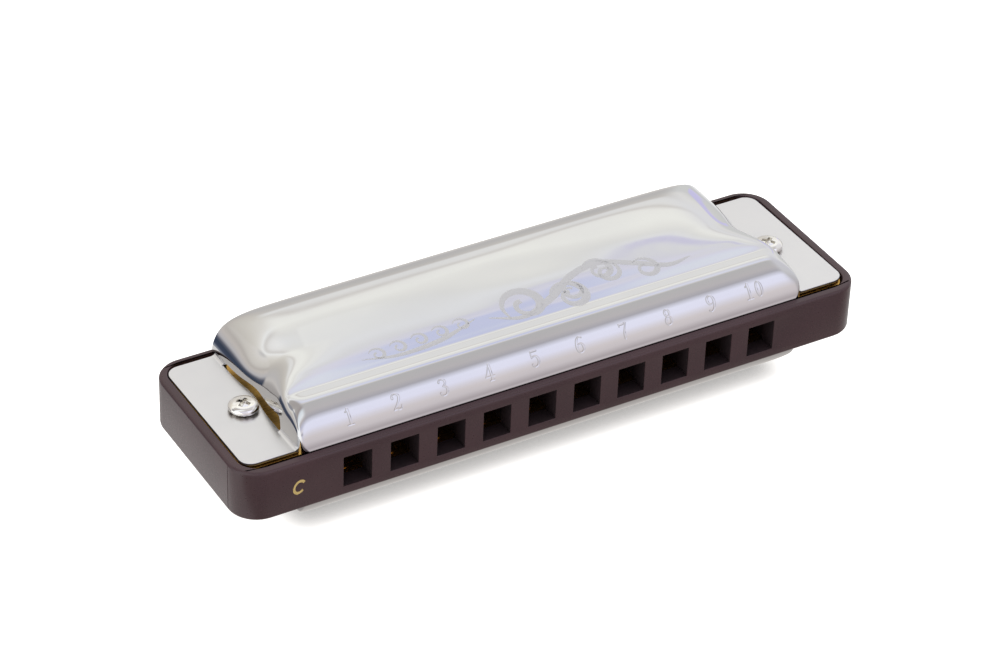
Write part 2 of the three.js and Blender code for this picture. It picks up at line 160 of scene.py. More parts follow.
# Screws, nuts and rivets
SCREW_X = 44.3
SCREW_Y = -0.4
SCREW_RADIUS = 1
SCREW_HOLE_RADIUS = 1.3
SCREW_HEAD_RADIUS = 2.25
SCREW_HEAD_HEIGHT = 1.5
SCREW_TAIL = 0.5
NUT_RADIUS = 2.3
NUT_HEIGHT = 1.6
PLATE_SCREW_PLACES = [(-38.4, -8.6), (38.4, -8.6), (-30, 11), (0, 11), (30, 11)]
PLATE_SCREW_HOLE_RADIUS = 0.95
# The head's radius and height, and the shank's radius and length
PLATE_SCREW = (1.4, 0.7, 0.7, 2.4)
RECESS_TURN = 38
RIVET_RADIUS = 0.65
RIVET_HEAD_RADIUS = 1.1
RIVET_TAIL_RADIUS = 0.95
RIVET_HEAD_HEIGHT = 0.2

# Heights worked out from the sizes above
CORE_TOP = CORE_HEIGHT / 2
PLATE_TOP = CORE_TOP + PLATE_THICKNESS
TAB_TOP = PLATE_TOP + SHEET
FOOT_Z = TAB_TOP - FOOT_DROP
RIM_TOP = COMB_HEIGHT / 2
RIM_RELIEF_Z = RIM_TOP + 0.15
RIM_RELIEF_Y = HALF_WIDTH - BACK_RIM_WIDTH - 0.15


# Meshes

def configured(thing, **values):
    for key, value in values.items():
        setattr(thing, key, value)
    return thing


def mesh_of(vertices, faces, name="part"):
    mesh = bpy.data.meshes.new(name)
    mesh.from_pydata([tuple(map(float, vertex)) for vertex in vertices], [], faces)
    mesh.update()
    return mesh


def new_object(name, data):
    obj = bpy.data.objects.new(name, data)
    bpy.context.scene.collection.objects.link(obj)
    return obj


def evaluated_mesh(obj):
    """The object's mesh with its modifiers; the object itself goes."""
    bpy.context.view_layer.update()
    graph = bpy.context.evaluated_depsgraph_get()
    mesh = bpy.data.meshes.new_from_object(obj.evaluated_get(graph))
    bpy.data.objects.remove(obj)
    return mesh


def edit(mesh, change):
    work = bmesh.new()
    work.from_mesh(mesh)
    change(work)
    work.to_mesh(mesh)
    work.free()
    mesh.update()
    return mesh


def weld(mesh, distance=1e-4):
    def change(work):
        bmesh.ops.remove_doubles(work, verts=work.verts, dist=distance)
        bmesh.ops.dissolve_degenerate(work, edges=work.edges, dist=distance)
        bmesh.ops.recalc_face_normals(work, faces=work.faces)
    return edit(mesh, change)


def joined(meshes):
    """One mesh holding all of these, with their material numbers kept."""
    work = bmesh.new()
    for mesh in meshes:
        work.from_mesh(mesh)
    result = bpy.data.meshes.new("joined")
    work.to_mesh(result)
    work.free()
    return result


def boolean(mesh, tools):
    """The mesh with the tools cut out of it."""
    base = new_object("base", mesh)
    tool = new_object("tool", joined(tools))
    cut = base.modifiers.new("cut", "BOOLEAN")
    configured(cut, object=tool, operation="DIFFERENCE", solver="EXACT")
    result = evaluated_mesh(base)
    bpy.data.objects.remove(tool)
    return result


def flat_plate(loops, low, high, edge=0.0, steps=3):
    """A sheet lying level between two heights: the first loop is its outline, the others are holes."""
    curve = bpy.data.curves.new("plate", "CURVE")
    configured(curve, dimensions="2D", fill_mode="BOTH", extrude=(high - low) / 2 - edge)
    configured(curve, bevel_depth=edge, bevel_resolution=steps, offset=-edge)
    for loop in loops:
        line = curve.splines.new("POLY")
        line.points.add(len(loop) - 1)
        for point, (x, y) in zip(line.points, loop):
            point.co = (x, y, 0, 1)
        line.use_cyclic_u = True
    mesh = evaluated_mesh(new_object("plate", curve))
    mesh.transform(Matrix.Translation((0, 0, (low + high) / 2)))
    return weld(mesh)


def block(low, high, taper=0.0):
    """A box; taper draws its lower face in on all four sides."""
    (x0, y0, z0), (x1, y1, z1) = low, high
    t = taper
    vertices = [
        (x0 + t, y0 + t, z0), (x1 - t, y0 + t, z0), (x1 - t, y1 - t, z0), (x0 + t, y1 - t, z0),
        (x0, y0, z1), (x1, y0, z1), (x1, y1, z1), (x0, y1, z1),
    ]
    faces = [(3, 2, 1, 0), (4, 5, 6, 7)] + [(i, (i + 1) % 4, (i + 1) % 4 + 4, i + 4) for i in range(4)]
    return mesh_of(vertices, faces)


def turned(profile, x=0.0, y=0.0, sides=48):
    """A solid of revolution about an upright axis. The profile runs from the axis to the axis."""
    vertices = []
    rings = []
    for radius, z in profile:
        if radius < 1e-6:
            rings.append(added(vertices, [(x, y, z)]) * sides)
            continue
        rings.append(added(vertices, [(*point, z) for point in circle(x, y, radius, sides)]))
    faces = []
    for ring, after in zip(rings, rings[1:]):
        for step in range(sides):
            add_face(faces, ring[step], ring[step - 1], after[step - 1], after[step])
    return weld(mesh_of(vertices, faces))


def add_face(faces, *corners):
    """Adds a face, leaving out corners that repeat, and nothing at all when it has no area."""
    kept = [corner for step, corner in enumerate(corners) if corner != corners[step - 1]]
    if len(set(kept)) >= 3:
        faces.append(tuple(kept))


def arc(cx, cy, radius, start, end, steps):
    """Points on an arc in degrees, both ends included."""
    points = []
    for step in range(steps + 1):
        angle = math.radians(start + (end - start) * step / steps)
        points.append((cx + radius * math.cos(angle), cy + radius * math.sin(angle)))
    return points


def circle(cx, cy, radius, steps=32):
    return arc(cx, cy, radius, 0, 360, steps)[:-1]


def rounded_rectangle(x0, x1, y0, y1, radius, steps=16):
    left, right, front, back = x0 + radius, x1 - radius, y0 + radius, y1 - radius
    points = []
    for start, x, y in ((-90, right, front), (0, right, back), (90, left, back), (180, left, front)):
        points += arc(x, y, radius, start, start + 90, steps)
    return points


def smooth_step(value):
    t = np.clip(value, 0, 1)
    return t * t * (3 - 2 * t)


def with_between(corners, between):
    """A face's corners, with the points that a finer neighbour has put along its edges."""
    points = []
    for step, corner in enumerate(corners):
        after = corners[(step + 1) % len(corners)]
        points.append(corner)
        points += between.get((corner, after), [])
        points += reversed(between.get((after, corner), []))
    return points


def added(vertices, points):
    """Adds points to the vertices, and gives their numbers."""
    start = len(vertices)
    vertices.extend(points)
    return list(range(start, len(vertices)))


def closed_between(vertices, upper, lower, patches=(), taken=(), between=None):
    """A closed mesh from two grids of vertex numbers with the same shape. Patches can stand for some of
    the upper grid's faces: those are taken, and the faces beside them get the points in between."""
    faces = list(patches)
    rows = len(upper)
    columns = len(upper[0])
    for row in range(rows - 1):
        for column in range(columns - 1):
            a, b, c, d = ((row, column), (row, column + 1), (row + 1, column + 1), (row + 1, column))
            if (row, column) not in taken:
                add_face(faces, *with_between([upper[y][x] for y, x in (a, b, c, d)], between or {}))
            add_face(faces, *[lower[y][x] for y, x in (a, d, c, b)])
    border = [(0, column) for column in range(columns)]
    border += [(row, columns - 1) for row in range(1, rows)]
    border += [(rows - 1, column) for column in range(columns - 2, -1, -1)]
    border += [(row, 0) for row in range(rows - 2, 0, -1)]
    for step, (row, column) in enumerate(border):
        y, x = border[step - 1]
        add_face(faces, upper[y][x], lower[y][x], lower[row][column], upper[row][column])
    return weld(mesh_of(vertices, faces), 1e-5)


def finish_piece(name, mesh, looks, node=None, body=BODY, sharp=32):
    """Scales a mesh to metres and makes it a piece that stands for the CAD node."""
    mesh.transform(Matrix.Scale(MM, 4))
    mesh.shade_smooth()
    mesh.set_sharp_from_angle(angle=math.radians(sharp))
    mesh.name = name
    numbers = [face.material_index for face in mesh.polygons]
    mesh.materials.clear()
    for look in looks:
        mesh.materials.append(look)
    mesh.polygons.foreach_set("material_index", numbers)
    obj = new_object(name, mesh)
    if body:
        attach(obj, body)
    if node:
        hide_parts(node)
    return obj


# Materials

CHROME_TONE = 0.625
# The heights over which the screw heads' painted shade fades out, darkest at the lower height
PAINTED_SHADE_Z = (TAB_TOP + 0.1, TAB_TOP + 1.25)


class Nodes:
    """The node tree of a material or world, with short calls for the nodes used here."""

    def __init__(self, owner, main="Principled BSDF"):
        owner.use_nodes = True
        self.owner = owner
        self.tree = owner.node_tree
        self.main = self.tree.nodes[main]

    def add(self, kind, output, feeds=(), **settings):
        """One of a new node's outputs. Each of its inputs takes a number, a colour or another output."""
        node = configured(self.tree.nodes.new("ShaderNode" + kind), **settings)
        for socket, value in dict(feeds).items():
            if isinstance(value, bpy.types.NodeSocket):
                self.tree.links.new(value, node.inputs[socket])
            else:
                node.inputs[socket].default_value = value
        return node.outputs[output]

    def set(self, **values):
        for key, value in values.items():
            self.main.inputs[key.replace("_", " ")].default_value = value

    def feed(self, **sources):
        for key, source in sources.items():
            self.tree.links.new(source, self.main.inputs[key.replace("_", " ")])

    def place(self, stretch=(1, 1, 1)):
        """Object coordinates in millimetres, stretched."""
        whole = self.add("TexCoord", "Object")
        return self.add("Mapping", "Vector", {"Vector": whole, "Scale": [1000 * part for part in stretch]})

    def noise(self, place, scale, detail=3.0, roughness=0.5):
        feeds = {"Vector": place, "Scale": scale, "Detail": detail, "Roughness": roughness}
        return self.add("TexNoise", "Fac", feeds)

    def remap(self, source, low, high, to_low=0, to_high=1, kind="LINEAR"):
        feeds = {"Value": source, "From Min": low, "From Max": high, "To Min": to_low, "To Max": to_high}
        return self.add("MapRange", "Result", feeds, interpolation_type=kind)

    def ramp(self, source, stops):
        colour = self.add("ValToRGB", "Color", {"Fac": source})
        elements = colour.node.color_ramp.elements
        while len(elements) < len(stops):
            elements.new(0.5)
        for element, (position, shade) in zip(elements, stops):
            element.position = position
            element.color = (*shade, 1)
        return colour

    def bump(self, height, strength, distance_mm):
        feeds = {"Height": height, "Strength": strength, "Distance": distance_mm * MM}
        self.feed(Normal=self.add("Bump", "Normal", feeds))

    def math(self, operation, *sources):
        return self.add("Math", "Value", enumerate(sources), operation=operation)


def linear(hex_colour):
    """A colour written as on screen, as the linear values that shaders take."""
    parts = [int(hex_colour[at:at + 2], 16) / 255 for at in (0, 2, 4)]
    return tuple(p / 12.92 if p <= 0.04045 else ((p + 0.055) / 1.055) ** 2.4 for p in parts)


def material(name, colours, grain, rough=None, rough_grain=None, stretch=(1, 1, 1), bump=0, pits=0, **values):
    """A shader with two mingled colours. Its roughness follows a grain, and so does its bump."""
    look = Nodes(bpy.data.materials.new(name))
    look.set(**values)
    place = look.place(stretch)
    lines = look.noise(place, *grain)
    dark, light = [linear(colour) for colour in colours]
    look.feed(Base_Color=look.ramp(lines, [(0.3, dark), (0.7, light)]))
    if rough_grain:
        lines = look.noise(place, *rough_grain)
    if rough:
        look.feed(Roughness=look.remap(lines, 0.3, 0.7, *rough))
    if bump:
        look.bump(lines, bump, 0.01)
    if pits:
        look.bump(look.noise(place, 7, 3), pits, 0.01)
    return look.owner


def cover_chrome(name, tone, rough_low, rough_high, scratch):
    look = Nodes(bpy.data.materials.new(name))
    place = look.place()
    look.set(Metallic=1.0)
    dark = (0.98 * tone, 0.98 * tone, 0.99 * tone)
    look.feed(Base_Color=look.ramp(look.noise(place, 0.07, 2), [(0.3, dark), (0.7, [1.02 * tone] * 3)]))
    smudges = look.noise(place, 0.35, 4, 0.6)
    look.feed(Roughness=look.remap(smudges, 0.35, 0.75, rough_low, rough_high))
    look.bump(look.noise(look.place((0.12, 6, 1)), 2.0, 2, 0.5), scratch, 0.004)
    return look.owner


def brass(name, dark, light, rough, stretch):
    """Sheet brass with drawn or filed lines along the short axis of the stretch."""
    grain = (1.5, 4, 0.6)
    return material(name, (dark, light), grain, rough, stretch=stretch, bump=0.15, Metallic=1)


def bright_steel(name, dark, light, rough):
    return material(name, (dark, light), (1.8, 4, 0.6), rough, pits=0.06, Metallic=1)


def worn_steel(name):
    """Bright steel with painted shade and dark reflections: brown-black towards the shoulder, in the recess
    and in patches.
    """
    look = Nodes(bpy.data.materials.new(name))
    place = look.place()
    look.set(Metallic=1.0)
    height = look.add("SeparateXYZ", "Z", {"Vector": place})
    # Painted shade: darker towards the shoulder and in the recess, mixed with patches of painted dark
    # reflection
    low = look.remap(height, PAINTED_SHADE_Z[0], PAINTED_SHADE_Z[1], 0.42, 0)
    shade_mask = look.math("ADD", look.noise(place, 1.1, 3, 0.65), low)
    stops = ((0.66, "e9e7e2"), (0.78, "a59c92"), (0.92, "3a332e"))
    look.feed(Base_Color=look.ramp(shade_mask, [(position, linear(colour)) for position, colour in stops]))
    look.feed(Roughness=look.remap(shade_mask, 0.5, 0.85, 0.07, 0.24))
    look.bump(look.noise(place, 7, 3), 0.06, 0.01)
    return look.owner


PLASTIC = material("plum_plastic", ("2c191d", "331e22"), (0.09, 2), (0.26, 0.34), (2.6, 4, 0.6), IOR=1.5)
# The comb's own plum plastic painted darker for the chambers and mouths: painted shade
CHAMBER_SHADE_PLASTIC = material("chamber_shade_plastic", ("1b1416", "22181b"), (0.6, 2), Roughness=0.6, IOR=1.4)
CHROME = cover_chrome("cover_chrome", CHROME_TONE, 0.035, 0.07, 0.02)
TAB_CHROME = cover_chrome("tab_chrome", 0.74, 0.3, 0.36, 0.003)
ETCHED = material(
    "etched_chrome", ("c9c9ca", "d6d6d6"), (9, 2), (0.4, 0.52), (14, 3, 0.7), bump=0.3, Metallic=1,
)
PLATE_BRASS = brass("plate_brass", "b98f45", "d3aa5c", (0.26, 0.36), (0.15, 3, 1))
REED_BRASS = brass("reed_brass", "cfa650", "e6c274", (0.16, 0.28), (4, 0.3, 1))
RIVET_BRASS = brass("rivet_brass", "b58a3f", "cda455", (0.24, 0.34), (1, 1, 1))
SCREW_STEEL = worn_steel("screw_steel")
NUT_STEEL = bright_steel("nut_steel", "b5b5b2", "cacac8", (0.22, 0.34))
PLATE_SCREW_STEEL = bright_steel("plate_screw_steel", "c9c7c3", "dddbd6", (0.14, 0.24))
INK = material("gold_ink", ("b79f62", "cdb67a"), (9, 3, 0.7), (0.35, 0.5), Metallic=0.6)


# Places of the holes and reeds

def hole_x(hole):
    return (hole - (HOLE_COUNT + 1) / 2) * HOLE_PITCH


def along_holes(pair, hole):
    return pair[0] + (pair[1] - pair[0]) * (hole - 1) / (HOLE_COUNT - 1)


def reed_place(kind, hole):
    """The rivet's y, the way from rivet to tip, the plate face it lies under, the plate's other face."""
    if kind == "blow":
        rivet_y = BLOW_TIP_Y + along_holes(TONGUE_LENGTHS, hole) + PAD_LENGTH / 2
        return rivet_y, -1, CORE_TOP, PLATE_TOP
    return DRAW_RIVET_Y, 1, -PLATE_TOP, -CORE_TOP


SCREW_HOLES = [circle(side * SCREW_X, SCREW_Y, SCREW_HOLE_RADIUS) for side in (-1, 1)]


def below(mesh):
    """Half a turn about the Y axis: a piece made for the top, put on the bottom."""
    mesh.transform(Matrix.Rotation(math.pi, 4, "Y"))
    return mesh


# Comb

def recess_outline(inset):
    edge = RIM_WIDTH + inset
    x = HALF_LENGTH - edge
    back = HALF_WIDTH - BACK_RIM_WIDTH - inset
    return rounded_rectangle(-x, x, edge - HALF_WIDTH, back, COMB_CORNER - edge)


def comb_fillet_share(middle):
    """How much of the rim's fillet an edge takes, by where its middle lies."""
    corner_x = max(0, abs(middle.x) - (HALF_LENGTH - COMB_CORNER))
    corner_y = max(0, abs(middle.y) - (HALF_WIDTH - COMB_CORNER))
    from_edge = COMB_CORNER - math.hypot(corner_x, corner_y)
    if abs(abs(middle.z) - RIM_TOP) < 0.01:
        return 1.0 if from_edge < 0.05 else RIM_INNER_FILLET / RIM_FILLET
    if middle.y < -HALF_WIDTH + 0.01 and abs(middle.z) < MOUTH_HEIGHT / 2 + 0.01:
        return MOUTH_FILLET / RIM_FILLET
    return 0.0


def comb():
    outline = rounded_rectangle(-HALF_LENGTH, HALF_LENGTH, -HALF_WIDTH, HALF_WIDTH, COMB_CORNER)
    body = flat_plate([outline], -RIM_TOP, RIM_TOP)
    inner = recess_outline(0)
    tools = [flat_plate([inner], CORE_TOP, COMB_HEIGHT), flat_plate([inner], -COMB_HEIGHT, -CORE_TOP)]
    body = boolean(body, tools)
    inside = FRONT_WALL - HALF_WIDTH
    cavities = [flat_plate([hole], -COMB_HEIGHT, COMB_HEIGHT) for hole in SCREW_HOLES]
    mouths = []
    half_mouth = MOUTH_WIDTH / 2
    for hole in HOLES:
        x = hole_x(hole)
        back_y = BLOW_TIP_Y + along_holes(TONGUE_LENGTHS, hole) + PAD_LENGTH + CHAMBER_SPARE
        cavities.append(block(
            (x - CHAMBER_WIDTH / 2, inside, -RIM_TOP), (x + CHAMBER_WIDTH / 2, back_y, RIM_TOP),
        ))
        mouths.append(block(
            (x - half_mouth, -HALF_WIDTH - 1, -MOUTH_HEIGHT / 2),
            (x + half_mouth, inside + 0.1, MOUTH_HEIGHT / 2),
        ))
    body = boolean(boolean(body, cavities), mouths)

    def weigh(work):
        layer = work.edges.layers.float.new("bevel_weight_edge")
        for edge in work.edges:
            if len(edge.link_faces) == 2 and edge.calc_face_angle(0) > math.radians(30):
                middle = (edge.verts[0].co + edge.verts[1].co) / 2
                edge[layer] = comb_fillet_share(middle)

    edit(body, weigh)
    obj = new_object("filleted", body)
    fillet = obj.modifiers.new("fillet", "BEVEL")
    configured(fillet, limit_method="WEIGHT", width=RIM_FILLET, segments=4, use_clamp_overlap=False)
    filleted = evaluated_mesh(obj)
    # Faces inside the chambers and mouths take the darker plastic: painted shade
    for face in filleted.polygons:
        x, y, z = face.center
        over_holes = abs(x) < HOLE_COUNT / 2 * HOLE_PITCH
        if over_holes and abs(y) < HALF_WIDTH - 0.4 and abs(z) < CORE_TOP - 0.01:
            face.material_index = 1
    result = joined([filleted] + [mould_seam(side) for side in (-1, 1)])
    finish_piece("moulded_comb", result, [PLASTIC, CHAMBER_SHADE_PLASTIC], "comb")


def mould_seam(side):
    """The fine upright line that the mould's halves leave where a front corner meets an end."""
    half = 0.035
    x = side * HALF_LENGTH
    y = COMB_CORNER - HALF_WIDTH
    z = RIM_TOP - RIM_FILLET
    return block((x - half, y - half, -z), (x + half, y + half, z))


def key_letter():
    """The key of the instrument, C, stamped in gold foil beside hole 1."""
    middle = (-42.95, 0.012 - HALF_WIDTH, -0.1)
    opening = 38
    outline = arc(0, 0, 1.15, opening, 360 - opening, 40) + arc(0, 0, 0.73, 360 - opening, opening, 40)
    outline = [(x * 0.86 + y * 0.2, y * 1.04) for x, y in outline]
    mesh = flat_plate([outline], 0, 0.03, 0.008, 1)
    mesh.transform(Matrix.Translation(middle) @ Matrix.Rotation(math.pi / 2, 4, "X"))
    finish_piece("key_letter", mesh, [INK])


# Covers: one formula gives the outer skin, and the inner skin is the same formula drawn in by the sheet

def panel_lifts():
    """How far the panel climbs behind the crease, from its slopes, with their corners softened."""
    ys = np.arange(ROLL_TOP_Y - 2, BACK_ROLL_Y + 2, PANEL_GRID)
    slopes = np.pad(np.interp(ys, *zip(*PANEL_SLOPES)), CREASE_WINDOW // 2, mode="edge")
    window = np.hanning(CREASE_WINDOW + 2)[1:-1]
    return ys, np.cumsum(np.convolve(slopes, window / window.sum(), "valid")) * PANEL_GRID


PANEL_YS, PANEL_LIFTS = panel_lifts()


class Skin:
    """The cover's surface, drawn in by an inset."""

    def __init__(self, inset):
        self.inset = inset
        self.front_y = COVER_FRONT_Y + inset
        self.roll_rise = ROLL_RISE - inset
        self.end_rise_full = END_RISE - inset
        self.back_reach = BACK_ROLL_REACH - inset
        self.back_drop = BACK_ROLL_DROP - inset
        self.tilt = math.atan(PANEL_SLOPES[-1][1] * BACK_ROLL_REACH / BACK_ROLL_DROP)
        self.roll_start_y = BACK_ROLL_Y - BACK_ROLL_REACH * math.sin(self.tilt)
        start_rise = float(self.panel_rise(self.roll_start_y)) + inset
        self.back_rise = start_rise - BACK_ROLL_DROP * math.cos(self.tilt)

    def end_x(self, y):
        waist = WAIST_DEPTH * np.exp(-(((y - WAIST_Y) / WAIST_SPREAD) ** 2))
        into = np.clip(COVER_FRONT_Y + COVER_CORNER - np.asarray(y, float), 0, COVER_CORNER)
        corner = COVER_CORNER - np.sqrt(COVER_CORNER ** 2 - into ** 2)
        return COVER_END_X - waist - 0.8 * corner - self.inset

    def panel_rise(self, y):
        return self.roll_rise + np.interp(y, PANEL_YS, PANEL_LIFTS)

    def reach(self, y):
        behind = smooth_step((y - ROLL_TOP_Y) / (WAIST_Y - ROLL_TOP_Y))
        return ROLL_END_REACH + (END_REACH - ROLL_END_REACH) * behind - self.inset

    def end_rise(self, inside, y):
        left = np.clip(1 - inside / self.reach(y), 0, 1)
        return self.end_rise_full * np.sqrt(1 - left ** 3)

    def inside_at(self, rise, y):
        """How far inside the end the end wall reaches a rise."""
        share = 1 - min(1, max(0, rise) / self.end_rise_full) ** 2
        return float(self.reach(y) * (1 - share ** (1 / 3)))

    def height(self, section, inside, y):
        end = self.end_rise(inside, y)
        low = np.minimum(section, end)
        high = np.maximum(np.maximum(section, end), 1e-6)
        ratio = np.clip(low, 0, None) / high
        at_roll = smooth_step((ROLL_SOFT_Y - y) / 4) * smooth_step((5 - inside) / 4)
        sharpness = RIDGE_SHARPNESS + (ROLL_SHARPNESS - RIDGE_SHARPNESS) * at_roll
        soft = low / (1 + ratio ** sharpness) ** (1 / sharpness)
        return FOOT_Z + np.clip(soft, 0, None)

    def wave(self, x, y):
        """The slow swells of a pressed panel, no higher than a hair is thick."""
        share = smooth_step((y - CREASE_Y - 0.5) / 3) * smooth_step((BACK_ROLL_Y - y) / 3)
        share = share * smooth_step((self.end_x(y) - np.abs(x) - 3) / 8)
        crest = np.sin(0.55 * (y - WAVE_Y - WAVE_SLANT * x)) + 0.35 * np.sin(0.9 * (y + 0.22 * x))
        return PANEL_WAVE * share * crest * (0.65 + 0.35 * np.sin(0.1 * x + 0.4))

    def panel_z(self, x, y):
        return self.height(self.panel_rise(y), self.end_x(y) - np.abs(x), y) + self.wave(x, y)

    def roll_station(self, share):
        """The y and the rise on the number roll, from its foot (0) to its top (1)."""
        angle = math.pi / 2 * share
        y = ROLL_TOP_Y - (ROLL_TOP_Y - self.front_y) * math.cos(angle)
        rise = self.roll_rise * math.sin(angle)
        above_rim = FOOT_Z + rise - RIM_TOP
        if above_rim < 0:
            flare = 1 + above_rim / (RIM_TOP - FOOT_Z)
        else:
            flare = max(0, 1 - above_rim / FLARE_RISE) ** 2
        return y - FOOT_FLARE * flare, rise

    def row(self, y, rise, columns):
        """The x and z of points across the cover at one station, from the left end to the right end."""
        end = float(self.end_x(y))
        start = self.inside_at(wall_bottom(y) - FOOT_Z, y)
        inside = start + (end - start) * (1 - np.abs(columns) / COLUMNS[-1]) ** 2
        xs = np.sign(columns) * (end - inside)
        return xs, self.height(rise, inside, y) + self.wave(xs, y)

    def stations(self):
        """The y and the rise of each row, from the front foot to the end of the back roll."""
        rows = [self.roll_station(step / ROLL_STEPS) for step in range(ROLL_STEPS)]
        for y in np.linspace(ROLL_TOP_Y, self.roll_start_y, PANEL_STEPS, endpoint=False):
            rows.append((y, float(self.panel_rise(y))))
        for angle in np.linspace(-self.tilt, math.pi / 2, BACK_STEPS + 1):
            y = BACK_ROLL_Y + self.back_reach * math.sin(angle)
            rows.append((y, self.back_rise + self.back_drop * math.cos(angle)))
        return rows


def wall_bottom(y):
    """The height at which the end wall ends: on the plate, over the vent, or over the comb's rim."""
    if y > RIM_RELIEF_Y:
        return RIM_RELIEF_Z
    if VENT_FRONT_Y < y < VENT_BACK_Y:
        into = min(y - VENT_FRONT_Y, VENT_BACK_Y - y, VENT_ROUND)
        across = 1 - into / VENT_ROUND
        share = (y - VENT_FRONT_Y) / (VENT_BACK_Y - VENT_FRONT_Y)
        top = VENT_BACK_TOP_Z + (VENT_FRONT_TOP_Z - VENT_BACK_TOP_Z) * (1 - share) ** 1.5
        return PLATE_TOP + (top - PLATE_TOP) * math.sqrt(max(0, 1 - across * across))
    return PLATE_TOP


def cover_shell(numbered):
    """Both skins and their edges. A row of feet runs along the front, and a column along each end."""
    vertices = []
    grids = []
    for skin in (Skin(0), Skin(SHEET)):
        grid = []
        for y, rise in skin.stations():
            xs, zs = skin.row(y, rise, COLUMNS)
            row = added(vertices, [(x, y, z) for x, z in zip(xs, zs)])
            grid.append([foot_under(vertices, row[0]), *row, foot_under(vertices, row[-1])])
        front = [(*vertices[corner][:2], PLATE_TOP) for corner in grid[0]]
        grids.append([added(vertices, front), *grid])
    patches = engrave_numbers(vertices, grids[0]) if numbered else ()
    return closed_between(vertices, *grids, *patches)


def foot_under(vertices, corner):
    """The foot of an end wall: a point on the plate, or the wall's own end where it stops higher."""
    x, y, _ = vertices[corner]
    if wall_bottom(y) >= FOOT_Z:
        return corner
    vertices.append((x, y, wall_bottom(y)))
    return len(vertices) - 1


# Numerals, stamped into the number roll

def curve_through(points, steps=14):
    """A smooth line of points (x, y, half width) through a few given ones."""
    points = np.array(points, float)
    if len(points) == 2:
        return points[0] + (points[1] - points[0]) * np.linspace(0, 1, 3 * steps)[:, None]
    padded = np.vstack([2 * points[0] - points[1], points, 2 * points[-1] - points[-2]])
    t = np.linspace(0, 1, steps, endpoint=False)[:, None]
    line = []
    for before, start, end, after in zip(padded, padded[1:], padded[2:], padded[3:]):
        line.append(0.5 * (
            2 * start + (end - before) * t + (2 * before - 5 * start + 4 * end - after) * t ** 2
            + (3 * start - before - 3 * end + after) * t ** 3
        ))
    return np.vstack(line + [points[-1:]])


def oval(x, y, half_x, half_y, thin, thick):
    points = []
    for angle in np.arange(13) * math.pi / 6:
        width = thin + (thick - thin) * math.cos(angle) ** 2
        points.append((x + half_x * math.cos(angle), y + half_y * math.sin(angle), width))
    return points


SIX = [
    (0.5, 1.0, 0.11), (0.12, 1.17, 0.07), (-0.38, 0.62, 0.14), (-0.56, -0.3, 0.17), (-0.4, -0.95, 0.12),
    (0.02, -1.2, 0.07), (0.45, -0.9, 0.13), (0.52, -0.4, 0.16), (0.3, 0.05, 0.1), (-0.1, 0.12, 0.06),
    (-0.5, -0.2, 0.06),
]
FIGURES = {
    "0": [oval(0, 0, 0.44, 1.14, 0.06, 0.16)],
    "1": [
        [(-0.42, 0.78, 0.06), (-0.15, 0.92, 0.08), (0.02, 1.18, 0.09)],
        [(0.03, 1.15, 0.16), (0.03, -1.12, 0.16)], [(-0.46, -1.18, 0.07), (0.52, -1.18, 0.07)],
    ],
    "2": [
        [
            (-0.5, 0.62, 0.16), (-0.46, 1.0, 0.08), (0.02, 1.2, 0.08), (0.48, 0.9, 0.14),
            (0.48, 0.42, 0.16), (0.08, -0.25, 0.11), (-0.45, -0.85, 0.07), (-0.62, -1.12, 0.07),
        ],
        [(-0.62, -1.1, 0.08), (-0.2, -1.0, 0.13), (0.3, -1.14, 0.13), (0.6, -0.95, 0.08), (0.66, -0.6, 0.05)],
    ],
    "3": [
        [(-0.5, 0.8, 0.12), (-0.33, 1.1, 0.07), (0.05, 1.2, 0.08), (0.46, 0.88, 0.14), (0.4, 0.4, 0.11),
         (0.0, 0.12, 0.06)],
        [(0.0, 0.12, 0.06), (0.48, -0.12, 0.12), (0.56, -0.62, 0.16), (0.26, -1.08, 0.1),
         (-0.18, -1.2, 0.07), (-0.5, -1.0, 0.08), (-0.56, -0.74, 0.13)],
    ],
    "4": [
        [(0.22, 1.2, 0.06), (-0.68, -0.55, 0.06)], [(-0.68, -0.55, 0.08), (0.7, -0.55, 0.08)],
        [(0.24, 1.2, 0.15), (0.24, -1.12, 0.15)], [(-0.1, -1.18, 0.07), (0.58, -1.18, 0.07)],
    ],
    "5": [
        [(0.5, 1.12, 0.12), (-0.4, 1.1, 0.1)], [(-0.42, 1.12, 0.06), (-0.48, 0.15, 0.06)],
        [(-0.48, 0.15, 0.06), (-0.1, 0.38, 0.08), (0.34, 0.22, 0.13), (0.54, -0.38, 0.16),
         (0.32, -0.96, 0.12), (-0.1, -1.2, 0.07), (-0.45, -1.05, 0.07), (-0.54, -0.78, 0.13)],
    ],
    "6": [SIX],
    "7": [
        [(-0.6, 0.72, 0.05), (-0.5, 1.08, 0.09)], [(-0.55, 1.04, 0.12), (0, 1.0, 0.1), (0.58, 1.16, 0.08)],
        [(0.58, 1.14, 0.07), (0.15, 0.2, 0.1), (-0.05, -0.5, 0.15), (-0.02, -1.12, 0.17)],
    ],
    "8": [oval(0, 0.62, 0.38, 0.52, 0.07, 0.13), oval(0, -0.58, 0.47, 0.6, 0.07, 0.15)],
    "9": [[(-x, -y, width) for x, y, width in SIX]],
}
NUMBER_MIDDLE = math.radians(37.5)
NUMBER_RADIUS = 5.6
NUMBER_DEPTH = 0.05
NUMBER_EDGE = 0.1
NUMBER_GRID = 0.055
NUMBER_PARTS = 4
NUMBER_ROWS = (8, 25)
TEN_SPREAD = 0.88


def number_lines(hole):
    """The middle lines of the strokes of a hole's number, about the number's own middle."""
    figures = str(hole)
    lines = []
    for place, figure in enumerate(figures):
        shift = (2 * place - len(figures) + 1) * TEN_SPREAD
        lines += [curve_through(stroke) + np.array([shift, 0, 0]) for stroke in FIGURES[figure]]
    return np.vstack(lines)


